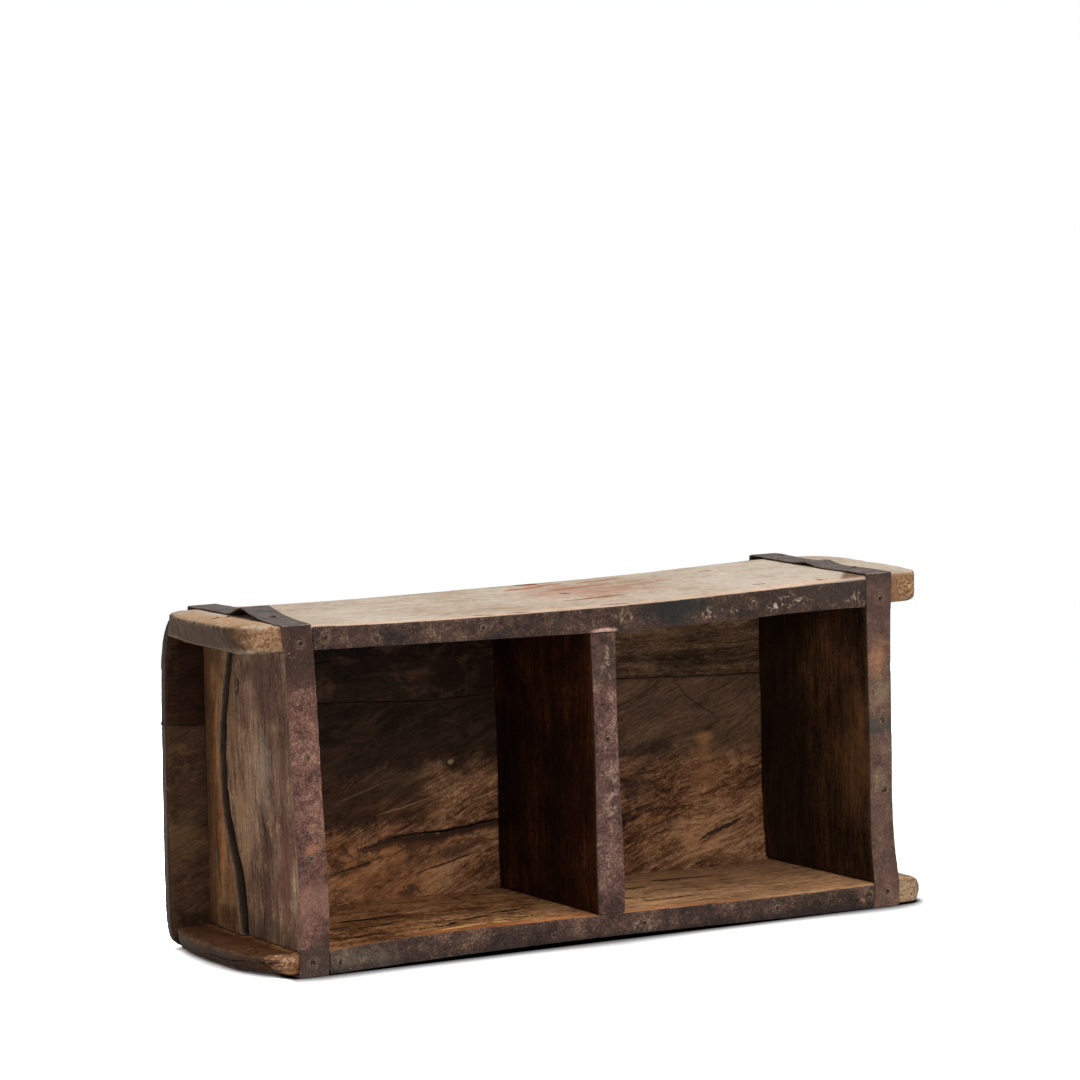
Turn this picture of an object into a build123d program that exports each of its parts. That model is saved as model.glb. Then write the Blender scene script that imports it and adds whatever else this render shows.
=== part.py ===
# Old wooden crate with two open rooms, standing on a long side.
# Millimetres. X runs along the length, Y from the open front to the closed back, Z up.
# The origin is at the middle of the footprint, on the floor.
from build123d import *
import os

os.makedirs("parts", exist_ok=True)

# Measuring starts at the left iron band and at the open front
band_left_x = -284.5
front_y = -86.0

# Wood and iron
depth = 170.0
iron = 2.2
back_thickness = 15.5
rear_y = front_y + depth
wood_front_y = front_y + iron
back_inner_y = rear_y - back_thickness
board_depth = back_inner_y - wood_front_y
board_rise = -1.5

# Flat iron and its nails
band_width = 25.4
divider_width = 24.2
turn_down = 30.0
nail_shank = 2.4
nail_length = 17.0
back_nail_length = 34.0
nail_head_radius = 3.1
nail_head_height = 0.9
nail_head_taper = 45.0
bend = 1.5

# Cutting shapes reach this far past the wood
spare = 20.0

# Long boards, seen from the front: upper faces left to right, lower faces right to left
top_upper = [(-45, 271.2), (0, 270.8), (45, 268.2), (120, 266.4), (220, 266.3), (319, 266.7),
             (427, 269.5), (536, 274.5), (615, 274.8)]
top_upper_back = [(-45, 267.0), (0, 269.0), (45, 268.8), (120, 268.0), (220, 268.7), (319, 269.7),
                  (427, 271.8), (536, 275.4), (615, 274.0)]
top_lower = [(615, 252.8), (560, 250.6), (470, 248.6), (376, 246.5), (263, 246.9),
             (120, 249.2), (27, 250.8), (-45, 251.8)]
bottom_upper = [(-45, 18.8), (37, 19.2), (150, 22.0), (260, 21.4), (374, 20.3),
                (460, 19.4), (545, 20.2), (576, 22.4)]
bottom_nose = [(576, 22.4), (590, 20.6), (597, 14.5), (599, 8.5), (595, 3.2), (584, 1.0)]
bottom_lower = [(584, 1.0), (558, 2.0), (420, 3.8), (290, 4.9), (160, 4.2), (25, 2.0), (-45, 2.4)]

# Ears, seen from above, at a level under the board and at a level over it: length, share of the depth
ear_left_top = [(-18, 0.01), (-31, 0.065), (-40, 0.26), (-41, 0.54), (-37, 0.76), (-25.5, 0.92), (-11, 1)]
ear_left_top_low = [(-20, 0), (-27, 0.04), (-24, 0.20), (-19, 0.42), (-19, 0.66), (-24, 0.865), (-22.5, 1)]
ear_right_top = [(588, 1), (601, 0.90), (605, 0.59), (601, 0.28), (592, 0.05), (584, 0)]
ear_right_top_low = [(588, 1), (599, 0.90), (603, 0.59), (601, 0.28), (593, 0.05), (587, 0)]
ear_left_bottom = [(-15, 0), (-27, 0.09), (-34, 0.33), (-34, 0.58), (-27, 0.84), (-18, 1)]
ear_left_bottom_low = [(3, 0.04), (-6, 0.09), (-13, 0.22), (-14, 0.445), (-15, 0.71), (-11, 1)]
ear_right_bottom = [(588, 1), (600, 0.83), (606, 0.54), (603, 0.25), (598, 0.05), (590, 0.005)]
ear_right_bottom_low = [(584, 1), (597, 0.83), (602, 0.54), (600, 0.25), (596, 0.05), (588, 0.005)]
board_front = [(556, -0.01), (30, -0.01)]

# Uprights, seen from the front
left_band_edge = [(10.7, 0), (11.9, 37), (10.4, 86), (7.4, 135), (4.0, 205), (-0.4, 271.2)]
right_band_edge = [(538, 277), (538.6, 229), (541.4, 123), (541.8, 90), (543.4, 48), (545.8, 22), (546.2, 0)]
right_band_far_edge = [(545.2 + band_width, 0), (545.7 + band_width, 17), (542.2 + band_width, 45),
                       (539.2 + band_width, 80), (538.5 + band_width, 118), (537 + band_width, 228),
                       (538 + band_width, 277)]
divider_edge = [(279.6, 10), (278.0, 70), (276.7, 162), (275.2, 205), (272.6, 256)]
divider_far_edge = [(272.6 + divider_width, 256), (273.0 + divider_width, 205),
                    (274.2 + divider_width, 162), (277.6 + divider_width, 95), (279.6 + divider_width, 10)]
end_setback = 1.5
end_thickness = 23.0
left_front_skew = 0.02
right_skew = -0.027
rear_plank_from = 60.0
ends_low = 10.0
ends_high = 260.0
joint_low = 18.6

# Left end: the curved joint between its two planks, seen from the side as depth and height
joint = [(91.6, joint_low), (94, 38), (99.5, 66), (110.5, 96), (116.5, 126), (116, 155),
         (110.5, 190), (99, 226), (88, ends_high)]
joint_rear = [(92.6, joint_low), (95, 38), (100.3, 66), (111.4, 96), (118, 126), (118.6, 155),
              (114.6, 190), (104, 226), (93.5, ends_high)]
rear_outer_front = [(7.5, 10), (6.1, 40), (1.9, 90), (-4.0, 150), (-2.6, 226), (-1.5, 262)]
rear_outer_back = [(13.4, 10), (13.2, 40), (12.8, 90), (12.2, 150), (11.3, 226), (10.8, 262)]
rear_inner = [(24.5, 262), (28.5, 205), (31.9, 135), (34.9, 86), (36.4, 37), (36.2, 10)]

# Back: the seam between its two planks and their ends, seen from the front
seam = [(-16, 179.4), (8, 177.2), (70, 183.0), (135, 185.0), (202, 180.8), (300, 183.2),
        (395, 184.2), (462, 181.4), (579, 180.0)]
seam_gap = 0.3
back_end_slant = 3.4
back_upper_left = [(-10, 265.8), (-16.6, 255.5), (-20.3, 239), (-22.0, 210), (-22.3, 181.0)]
back_upper_right = [(586, 181.0), (586, 215), (584.5, 245), (581, 263), (573, 273.0)]
back_lower_left = [(-22.3, 179.4), (-22.0, 110), (-21.2, 44), (-19.9, 18), (-16.4, 7.0), (-6, 3.0)]
back_lower_right = [(574, 3.0), (582, 8), (585.5, 24), (586, 65), (585, 120), (586, 179.0)]
back_top_edge = [(540, 275.4), (427, 271.0), (319, 268.9), (220, 267.9), (120, 267.2), (20, 267.9)]
back_bottom_edge = [(40, 2.8), (160, 4.4), (290, 5.1), (420, 4.2), (540, 2.8)]
back_top_fall = 2.2

# Flat iron along the front edges, seen from the front
top_strip_upper = [(25.6, 269.0), (90, 266.9), (200, 266.1), (319, 266.5), (427, 269.3), (537.6, 272.0)]
top_strip_lower = [(537.6, 249.0), (470, 248.9), (376, 246.1), (263, 246.4), (120, 248.9), (25.6, 250.5)]
bottom_strip_upper = [(37.2, 19.1), (150, 22.6), (260, 21.6), (374, 20.4), (460, 19.4), (546, 19.8)]
bottom_strip_lower = [(546, 0.3), (430, 1.4), (320, 3.0), (230, 3.4), (120, 2.2), (37.2, 0.5)]

# Bands where they cross the top board, seen from the side: share of the depth and height of the upper face
left_arch = [(0.053, 271.6), (0.147, 272.0), (0.235, 273.2), (0.324, 275.0), (0.394, 277.3),
             (0.435, 278.2), (0.476, 277.0), (0.529, 273.6), (0.571, 271.9), (0.635, 271.8),
             (0.735, 271.4), (0.853, 271.0), (0.971, 270.6)]
right_arch = [(0.053, 276.9), (0.324, 276.6), (0.447, 277.4), (0.524, 279.2), (0.594, 278.0),
              (0.659, 277.4), (0.824, 277.8), (0.971, 278.2)]
left_band_shift = 7.0

# Nails on the front, seen from the front
left_band_nails = [(14.9, 256.7), (19.8, 169.1), (21.3, 91.8), (22.9, 11.4)]
right_band_nails = [(550.6, 255.2), (553.6, 154.2), (555.4, 97.4), (558.1, 13.4)]
top_strip_points = [(36.5, 260.0), (81.7, 256.7), (175.1, 257.4), (307.0, 257.2), (427.1, 259.5)]
bottom_strip_points = [(45.3, 9.2), (321.2, 11.2), (448.9, 10.4), (540.5, 12.0)]
divider_points = [(288.2, 161.5)]

# Nails on top of the bands as length, share of the depth and height, and on the back as length and height
left_band_top_nails = [(14.5, 0.253, 273.5)]
right_band_top_nails = [(557.5, 0.27, 276.6), (556.0, 0.882, 277.9)]
left_band_back_nails = [(19.5, 255.0), (23.4, 15.0)]
right_band_back_nails = [(550.5, 260.0), (558.4, 15.0)]
upper_plank_nails = [(90, 257.5), (190, 256.5), (385, 257.0), (480, 260.0),
                     (21, 203), (286.5, 205), (547, 204)]
lower_plank_nails = [(90, 12.0), (190, 13.0), (385, 12.0), (480, 11.0), (27, 48), (25, 150),
                     (291, 48), (288, 150), (550, 48), (548, 150)]


def face_at(y):
    # upright plane at the depth y, seen from the open front
    return Plane(origin=(0, y, 0), x_dir=(1, 0, 0), z_dir=(0, -1, 0))


def side_at(x):
    # upright plane across the crate, at x
    return Plane(origin=(x, 0, 0), x_dir=(0, 1, 0), z_dir=(1, 0, 0))


def up(points, dx=0.0, dz=0.0):
    # points measured from the left band, for an upright plane
    return [(band_left_x + x + dx, z + dz) for x, z in points]


def across(points, dy=0.0, dz=0.0):
    # points measured from the open front, for a plane across the crate
    return [(front_y + y + dy, z + dz) for y, z in points]


def flat(points):
    # points of a board's plan, for a level plane
    return [(band_left_x + x, wood_front_y + share * board_depth) for x, share in points]


def arched(points, dz=0.0):
    # points of a band's upper face, for a plane across the crate
    return [(front_y + share * depth, z + dz) for share, z in points]


def outline(*stretches):
    # one closed outline: long stretches are smooth curves, and straight lines join them
    last = stretches[-1][-1]
    for stretch in stretches:
        if (Vector(*last) - Vector(*stretch[0])).length > 1e-4:
            Line(last, stretch[0])
        if len(stretch) > 2:
            Spline(*stretch)
        elif len(stretch) == 2:
            Line(*stretch)
        last = stretch[-1]


def front_seats(points, y=front_y):
    # where nails sit on a face that looks to the front
    return [Plane(origin=(band_left_x + x, y, z), x_dir=(1, 0, 0), z_dir=(0, -1, 0)) for x, z in points]


def back_seats(points, y=rear_y):
    # where nails sit on a face that looks to the back
    return [Plane(origin=(band_left_x + x, y, z), x_dir=(-1, 0, 0), z_dir=(0, 1, 0)) for x, z in points]


def top_seats(points):
    # where nails sit on the bands above the top board
    return [Plane(origin=(band_left_x + x, front_y + share * depth, z)) for x, share, z in points]


def make_nail(length):
    # square shank under a low forged head with eight facets
    with BuildPart() as nail:
        with BuildSketch(Plane.XY):
            RegularPolygon(nail_head_radius, 8)
        extrude(amount=nail_head_height, taper=nail_head_taper)
        with BuildSketch(Plane.XY):
            Rectangle(nail_shank, nail_shank)
        extrude(amount=-length)
    return nail.part


def make_band(front_outline, arch, near_x, top_z, low_x, shift):
    # flat iron over the front edges, bent over the top and bottom and turned over behind
    with BuildPart() as legs:
        with BuildSketch(side_at(band_left_x + near_x - spare)):
            with BuildLine():
                upper = arched(arch)
                under = arched(arch, dz=-iron)[::-1]
                behind = rear_y + iron
                end_z = arch[-1][1]
                outline(upper,
                        [(behind - bend, end_z - bend / 4), (behind, end_z - bend)],
                        [(behind, top_z - turn_down), (rear_y, top_z - turn_down)],
                        [(rear_y, end_z - iron - bend), (rear_y - bend, end_z - iron)],
                        under,
                        [(wood_front_y, top_z - iron), (wood_front_y, top_z - 3 * iron)],
                        [(front_y, top_z - 3 * iron), (front_y, top_z - bend)],
                        [(front_y + bend / 4, top_z - bend / 4), (front_y + bend, top_z)])
            make_face()
        extrude(amount=band_width + 2 * spare)
        with BuildSketch(Plane.XY.offset(top_z - turn_down - spare)):
            with BuildLine():
                left, right = band_left_x + near_x, band_left_x + near_x + band_width
                Polyline((left, front_y), (right, front_y), (right + shift, rear_y + iron),
                         (left + shift, rear_y + iron), close=True)
            make_face()
        extrude(amount=turn_down + 2 * spare, mode=Mode.INTERSECT)
        with BuildSketch(face_at(front_y)):
            with BuildLine():
                outline(*front_outline)
            make_face()
        extrude(amount=-iron)
        with BuildSketch(side_at(band_left_x + low_x)):
            with BuildLine():
                outline([(front_y, bend), (front_y + bend, 0)],
                        [(rear_y + iron - bend, 0), (rear_y + iron, bend)],
                        [(rear_y + iron, turn_down), (rear_y, turn_down)],
                        [(rear_y, iron), (wood_front_y, iron)],
                        [(wood_front_y, 3 * iron), (front_y, 3 * iron)])
            make_face()
        extrude(amount=band_width)
    return legs.part


short_nail = make_nail(nail_length)
long_nail = make_nail(back_nail_length)

# Iron bands
left_outline = [up(left_band_edge), up(left_band_edge[::-1], dx=band_width)]
right_outline = [up(right_band_edge[::-1]), up(right_band_far_edge[::-1])]
left_nail_seats = (front_seats(left_band_nails) + top_seats(left_band_top_nails)
                   + back_seats(left_band_back_nails, rear_y + iron))
right_nail_seats = (front_seats(right_band_nails) + top_seats(right_band_top_nails)
                    + back_seats(right_band_back_nails, rear_y + iron))

with BuildPart() as left_strap:
    add(make_band(left_outline, left_arch, left_band_edge[-1][0], 271.2, left_band_edge[0][0],
                  left_band_shift))
    with Locations(*left_nail_seats):
        add(short_nail, mode=Mode.SUBTRACT)

with BuildPart() as right_strap:
    add(make_band(right_outline, right_arch, right_band_edge[0][0], 277.0, right_band_edge[-1][0] - 0.5, 0.0))
    with Locations(*right_nail_seats):
        add(short_nail, mode=Mode.SUBTRACT)

# Iron strips
with BuildPart() as top_edge_strip:
    with BuildSketch(face_at(front_y)):
        with BuildLine():
            outline(up(top_strip_upper), up(top_strip_lower))
        make_face()
    extrude(amount=-iron)
    with Locations(*front_seats(top_strip_points)):
        add(short_nail, mode=Mode.SUBTRACT)
    add(left_strap.part, mode=Mode.SUBTRACT)
    add(right_strap.part, mode=Mode.SUBTRACT)

with BuildPart() as bottom_edge_strip:
    with BuildSketch(face_at(front_y)):
        with BuildLine():
            outline(up(bottom_strip_upper), up(bottom_strip_lower))
        make_face()
    extrude(amount=-iron)
    with Locations(*front_seats(bottom_strip_points)):
        add(short_nail, mode=Mode.SUBTRACT)
    add(left_strap.part, mode=Mode.SUBTRACT)
    add(right_strap.part, mode=Mode.SUBTRACT)

with BuildPart() as divider_strip:
    with BuildSketch(face_at(front_y)):
        with BuildLine():
            outline(up(divider_edge), up(divider_far_edge))
        make_face()
    extrude(amount=-iron)
    with Locations(*front_seats(divider_points)):
        add(short_nail, mode=Mode.SUBTRACT)
    add(top_edge_strip.part, mode=Mode.SUBTRACT)
    add(bottom_edge_strip.part, mode=Mode.SUBTRACT)

# Long boards
with BuildPart() as top_board:
    for y, upper, rise in ((wood_front_y, top_upper, 0), (back_inner_y + 2, top_upper_back, board_rise)):
        with BuildSketch(face_at(y)):
            with BuildLine():
                outline(up(upper), up(top_lower, dz=rise))
            make_face()
    loft(ruled=True)
    for height, left, right in ((243, ear_left_top_low, ear_right_top_low),
                                (279, ear_left_top, ear_right_top)):
        with BuildSketch(Plane.XY.offset(height)):
            with BuildLine():
                outline(flat(left), flat(right), flat(board_front))
            make_face()
    loft(mode=Mode.INTERSECT)
    with Locations(*(front_seats(top_strip_points) + left_nail_seats + right_nail_seats)):
        add(short_nail, mode=Mode.SUBTRACT)
    with Locations(*back_seats(upper_plank_nails)):
        add(long_nail, mode=Mode.SUBTRACT)
    add(left_strap.part, mode=Mode.SUBTRACT)
    add(right_strap.part, mode=Mode.SUBTRACT)

with BuildPart() as bottom_board:
    with BuildSketch(face_at(wood_front_y)):
        with BuildLine():
            outline(up(bottom_upper), up(bottom_nose), up(bottom_lower))
        make_face()
    extrude(amount=-(board_depth + 2))
    for height, left, right in ((-1, ear_left_bottom_low, ear_right_bottom_low),
                                (26, ear_left_bottom, ear_right_bottom)):
        with BuildSketch(Plane.XY.offset(height)):
            with BuildLine():
                outline(flat(left), flat(right), flat(board_front))
            make_face()
    loft(mode=Mode.INTERSECT)
    with Locations(*(front_seats(bottom_strip_points) + left_nail_seats + right_nail_seats)):
        add(short_nail, mode=Mode.SUBTRACT)
    with Locations(*back_seats(lower_plank_nails)):
        add(long_nail, mode=Mode.SUBTRACT)
    add(left_strap.part, mode=Mode.SUBTRACT)
    add(right_strap.part, mode=Mode.SUBTRACT)

# Left end, two planks with a curved open joint
with BuildPart() as left_end_plank_front:
    with BuildSketch(face_at(wood_front_y)):
        with BuildLine():
            outline(up(left_band_edge, dx=end_setback),
                    up(left_band_edge[::-1], dx=end_setback + end_thickness))
        make_face()
    extrude(amount=board_depth, dir=(left_front_skew, 1, 0))
    with BuildSketch(side_at(band_left_x - spare)):
        with BuildLine():
            outline(across(joint), [(wood_front_y, ends_high), (wood_front_y, joint_low)])
        make_face()
    extrude(amount=end_thickness + 3 * spare, mode=Mode.INTERSECT)
    add(top_board.part, mode=Mode.SUBTRACT)
    add(bottom_board.part, mode=Mode.SUBTRACT)
    with Locations(*left_nail_seats):
        add(short_nail, mode=Mode.SUBTRACT)

with BuildPart() as left_end_plank_rear:
    for y, edge in ((wood_front_y + rear_plank_from, rear_outer_front), (back_inner_y, rear_outer_back)):
        with BuildSketch(face_at(y)):
            with BuildLine():
                outline(up(edge), up(rear_inner))
            make_face()
    loft(ruled=True)
    with BuildSketch(side_at(band_left_x - spare)):
        with BuildLine():
            outline(across(joint_rear), [(back_inner_y, ends_high), (back_inner_y, joint_low)])
        make_face()
    extrude(amount=end_thickness + 3 * spare, mode=Mode.INTERSECT)
    add(top_board.part, mode=Mode.SUBTRACT)
    add(bottom_board.part, mode=Mode.SUBTRACT)
    with Locations(*back_seats(upper_plank_nails + lower_plank_nails)):
        add(long_nail, mode=Mode.SUBTRACT)

# Right end and divider
with BuildPart() as right_end_board:
    with BuildSketch(face_at(wood_front_y)):
        with BuildLine():
            outline(up(right_band_edge[::-1], dx=0.4), up(right_band_far_edge[::-1], dx=-1.0))
        make_face()
    extrude(amount=board_depth, dir=(right_skew, 1, 0))
    with BuildSketch(side_at(band_left_x + right_band_edge[0][0] - spare)):
        with BuildLine():
            outline([(front_y - spare, ends_low), (rear_y + spare, ends_low)],
                    [(rear_y + spare, ends_high), (front_y - spare, ends_high)])
        make_face()
    extrude(amount=band_width + 2 * spare, mode=Mode.INTERSECT)
    add(top_board.part, mode=Mode.SUBTRACT)
    add(bottom_board.part, mode=Mode.SUBTRACT)
    with Locations(*right_nail_seats):
        add(short_nail, mode=Mode.SUBTRACT)
    with Locations(*back_seats(upper_plank_nails + lower_plank_nails)):
        add(long_nail, mode=Mode.SUBTRACT)

with BuildPart() as divider_board:
    with BuildSketch(face_at(wood_front_y)):
        with BuildLine():
            outline(up(divider_edge, dx=0.6), up(divider_far_edge, dx=-1.4))
        make_face()
    extrude(amount=-board_depth)
    add(top_board.part, mode=Mode.SUBTRACT)
    add(bottom_board.part, mode=Mode.SUBTRACT)
    with Locations(*front_seats(divider_points)):
        add(short_nail, mode=Mode.SUBTRACT)
    with Locations(*back_seats(upper_plank_nails + lower_plank_nails)):
        add(long_nail, mode=Mode.SUBTRACT)

# Back, two planks over the rear edges of all the boards
with BuildPart() as back_plank_upper:
    for y, slant, fall in ((back_inner_y, 0, 0), (rear_y, back_end_slant, back_top_fall)):
        with BuildSketch(face_at(y)):
            with BuildLine():
                outline(up(seam, dz=seam_gap), up(back_upper_right, dx=-slant, dz=0),
                        up(back_top_edge, dz=-fall),
                        up(back_upper_left, dx=slant, dz=0))
            make_face()
    loft(ruled=True)
    with Locations(*back_seats(upper_plank_nails)):
        add(long_nail, mode=Mode.SUBTRACT)
    with Locations(*(left_nail_seats + right_nail_seats)):
        add(short_nail, mode=Mode.SUBTRACT)
    add(left_strap.part, mode=Mode.SUBTRACT)
    add(right_strap.part, mode=Mode.SUBTRACT)

with BuildPart() as back_plank_lower:
    for y, slant in ((back_inner_y, 0), (rear_y, back_end_slant)):
        with BuildSketch(face_at(y)):
            with BuildLine():
                outline(up(seam[::-1]), up(back_lower_left, dx=slant), up(back_bottom_edge),
                        up(back_lower_right, dx=-slant))
            make_face()
    loft(ruled=True)
    with Locations(*back_seats(lower_plank_nails)):
        add(long_nail, mode=Mode.SUBTRACT)
    with Locations(*(left_nail_seats + right_nail_seats)):
        add(short_nail, mode=Mode.SUBTRACT)
    add(left_strap.part, mode=Mode.SUBTRACT)
    add(right_strap.part, mode=Mode.SUBTRACT)

# Nails
with BuildPart() as left_strap_nails:
    with Locations(*left_nail_seats):
        add(short_nail)

with BuildPart() as right_strap_nails:
    with Locations(*right_nail_seats):
        add(short_nail)

with BuildPart() as top_strip_nails:
    with Locations(*front_seats(top_strip_points)):
        add(short_nail)

with BuildPart() as bottom_strip_nails:
    with Locations(*front_seats(bottom_strip_points)):
        add(short_nail)

with BuildPart() as divider_strip_nails:
    with Locations(*front_seats(divider_points)):
        add(short_nail)

with BuildPart() as back_plank_upper_nails:
    with Locations(*back_seats(upper_plank_nails)):
        add(long_nail)

with BuildPart() as back_plank_lower_nails:
    with Locations(*back_seats(lower_plank_nails)):
        add(long_nail)

top_board.part.label = "top_board"
bottom_board.part.label = "bottom_board"
back_plank_upper.part.label = "back_plank_upper"
back_plank_lower.part.label = "back_plank_lower"
left_end_plank_front.part.label = "left_end_plank_front"
left_end_plank_rear.part.label = "left_end_plank_rear"
right_end_board.part.label = "right_end_board"
divider_board.part.label = "divider_board"
left_strap.part.label = "left_strap"
right_strap.part.label = "right_strap"
top_edge_strip.part.label = "top_edge_strip"
bottom_edge_strip.part.label = "bottom_edge_strip"
divider_strip.part.label = "divider_strip"
left_strap_nails.part.label = "left_strap_nails"
right_strap_nails.part.label = "right_strap_nails"
top_strip_nails.part.label = "top_strip_nails"
bottom_strip_nails.part.label = "bottom_strip_nails"
divider_strip_nails.part.label = "divider_strip_nails"
back_plank_upper_nails.part.label = "back_plank_upper_nails"
back_plank_lower_nails.part.label = "back_plank_lower_nails"

for piece in (top_board, bottom_board, back_plank_upper, back_plank_lower, left_end_plank_front,
              left_end_plank_rear, right_end_board, divider_board, left_strap, right_strap,
              top_edge_strip, bottom_edge_strip, divider_strip, left_strap_nails, right_strap_nails,
              top_strip_nails, bottom_strip_nails, divider_strip_nails, back_plank_upper_nails,
              back_plank_lower_nails):
    export_step(piece.part, "parts/" + piece.part.label + ".step")
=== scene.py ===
from collections import namedtuple
from math import cos, hypot, pi, radians, sin

import bpy
import numpy as np
from mathutils import Matrix, Vector, kdtree


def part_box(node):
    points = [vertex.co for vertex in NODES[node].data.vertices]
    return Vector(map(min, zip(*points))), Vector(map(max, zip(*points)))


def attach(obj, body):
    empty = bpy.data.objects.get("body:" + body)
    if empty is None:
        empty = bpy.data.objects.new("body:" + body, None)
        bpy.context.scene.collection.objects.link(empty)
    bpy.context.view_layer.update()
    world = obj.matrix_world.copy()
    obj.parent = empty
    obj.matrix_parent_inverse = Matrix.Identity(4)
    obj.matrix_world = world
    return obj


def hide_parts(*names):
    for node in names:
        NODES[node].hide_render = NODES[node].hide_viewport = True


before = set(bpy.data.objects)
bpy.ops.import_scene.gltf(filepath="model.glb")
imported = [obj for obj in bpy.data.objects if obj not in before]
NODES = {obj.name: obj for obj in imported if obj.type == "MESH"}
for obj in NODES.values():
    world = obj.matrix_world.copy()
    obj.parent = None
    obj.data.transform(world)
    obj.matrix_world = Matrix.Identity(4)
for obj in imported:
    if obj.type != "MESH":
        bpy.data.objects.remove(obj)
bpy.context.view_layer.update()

# Places on the crate are millimetres from the left band, from the open front and from the floor
ORIGIN = (-0.2845, -0.086, 0.0)
MM = 0.001
LENGTH = 571.0

COARSE = 1.0

# Grid sizes of the even meshes of a neighbour and of the iron, and how far off a neighbour counts as clear
NEIGHBOUR_VOXEL, IRON_VOXEL, CLEAR = 0.0030, 0.0009, 0.005

# Rounds of relaxing that soften an arris, and the further rounds that make an ear round
SOFT, EAR_SOFT = 2, 11

# How deep the hammered faces of the iron go
DENT = 0.00025

# The two directions that lie in a face that looks along an axis
ACROSS = {"x": (1, 2), "y": (0, 2), "z": (0, 1)}

# Near black painted shade inside cracks
CRACK_SHADE = (13, 8, 6)
SWAYS = 3 * pi

# A line on the faces that look to one side: its ends and width in millimetres, how deep it is cut,
# how far it sways about the straight line, and its colour
Mark = namedtuple("Mark", "side a b width depth sway colour")


# A crack is cut by its depth and drawn in painted shade
def crack(a, b, width, depth=0.0, sway=0.6):
    return Mark(None, a, b, width, depth, sway, CRACK_SHADE)


def scratch(a, b, width, colour, sway=0.3):
    return Mark(None, a, b, width, 0.0, sway, colour)


def on(side, *marks):
    return [mark._replace(side=side) for mark in marks]


def new_object(name, data):
    thing = bpy.data.objects.new(name, data)
    bpy.context.scene.collection.objects.link(thing)
    return thing


# Meshes

def lattice(ix, iy, iz, seed):
    n = (ix * 374761393 + iy * 668265263 + iz * 1442695041 + seed * 1274126177) & 0xFFFFFFFF
    n = ((n ^ (n >> 13)) * 1103515245) & 0xFFFFFFFF
    n = ((n ^ (n >> 16)) * 2246822519) & 0xFFFFFFFF
    return (n & 0xFFFFFF) / float(0x7FFFFF) - 1.0


def value_noise(p, seed):
    """Smooth noise from -1 to 1 at each point of p."""
    cell = np.floor(p).astype(np.int64)
    f = p - cell
    f = f * f * (3 - 2 * f)
    total = np.zeros(len(p))
    for dx in (0, 1):
        wx = f[:, 0] if dx else 1 - f[:, 0]
        for dy in (0, 1):
            wy = f[:, 1] if dy else 1 - f[:, 1]
            for dz in (0, 1):
                wz = f[:, 2] if dz else 1 - f[:, 2]
                total += wx * wy * wz * lattice(cell[:, 0] + dx, cell[:, 1] + dy, cell[:, 2] + dz, seed)
    return total


def layered(p, seed, octaves=3):
    total, size = np.zeros(len(p)), 1.0
    for k in range(octaves):
        total += size * value_noise(p * 2.03 ** k, seed + 17 * k)
        size *= 0.5
    return total / 1.75


def fresh_copy(node, voxel):
    """An even, finely divided copy of a node's mesh."""
    mesh = NODES[node].data.copy()
    mesh.materials.clear()
    thing = new_object("raw_" + node, mesh)
    weld = thing.modifiers.new("weld", "WELD")
    weld.merge_threshold = 1e-6
    remesh = thing.modifiers.new("even", "REMESH")
    remesh.mode = "VOXEL"
    remesh.voxel_size = voxel
    graph = bpy.context.evaluated_depsgraph_get()
    made = bpy.data.meshes.new_from_object(thing.evaluated_get(graph))
    bpy.data.objects.remove(thing)
    bpy.data.meshes.remove(mesh)
    return made


def points_of(mesh):
    co = np.empty(len(mesh.vertices) * 3)
    mesh.vertices.foreach_get("co", co)
    return co.reshape(-1, 3)


def normals_of(mesh):
    mesh.update()
    no = np.empty(len(mesh.vertices) * 3)
    mesh.vertices.foreach_get("normal", no)
    return no.reshape(-1, 3)


def place_points(mesh, co, node):
    """Moves a mesh's points, held inside the node's own box."""
    low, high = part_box(node)
    co = np.clip(co, np.array(low), np.array(high))
    mesh.vertices.foreach_set("co", co.ravel())
    mesh.update()


def relax(co, mesh, rounds):
    """Rounds a mesh's arrises by moving each point half-way to its neighbours' mean, round by round."""
    pairs = np.empty(len(mesh.edges) * 2, dtype=np.int64)
    mesh.edges.foreach_get("vertices", pairs)
    a, b = pairs.reshape(-1, 2).T
    count = np.bincount(a, minlength=len(co)) + np.bincount(b, minlength=len(co))
    count = np.maximum(count, 1)[:, None]
    for _ in range(rounds):
        mean = np.stack([np.bincount(a, co[b, k], len(co)) + np.bincount(b, co[a, k], len(co))
                         for k in range(3)], axis=1) / count
        co = co + 0.5 * (mean - co)
    return co


def clearance(co, node):
    """From near 0 where points touch another node to 1 where they are clear of it."""
    other = points_of(fresh_copy(node, NEIGHBOUR_VOXEL))
    tree = kdtree.KDTree(len(other))
    for k, point in enumerate(other):
        tree.insert(point, k)
    tree.balance()
    away = np.array([tree.find(point)[2] for point in co])
    return np.clip((away - NEIGHBOUR_VOXEL) / CLEAR, 0.0, 1.0)


def nearness(co, mark):
    """0 on a mark's middle line, 1 at its border and more outside it."""
    u, v = [(co[:, k] - ORIGIN[k]) / MM for k in ACROSS[mark.side[-1]]]
    du, dv = mark.b[0] - mark.a[0], mark.b[1] - mark.a[1]
    size = hypot(du, dv)
    u, v = u - mark.a[0], v - mark.a[1]
    share = (u * du + v * dv) / size ** 2
    off = (v * du - u * dv) / size - mark.sway * np.sin(SWAYS * share)
    half = mark.width * np.sqrt(np.clip(share * (1 - share), 0, None))
    return np.abs(off) / np.maximum(half, 1e-3)


def looks(normals, side):
    """How far each normal turns to a side given as x, -x, y, -y, z or -z."""
    part = normals[:, "xyz".index(side[-1])]
    return -part if side[0] == "-" else part


# How shapes are drawn out along the grain
GRAIN = {"x": (0.06, 1.0, 1.0), "z": (1.0, 1.0, 0.06)}

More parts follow.
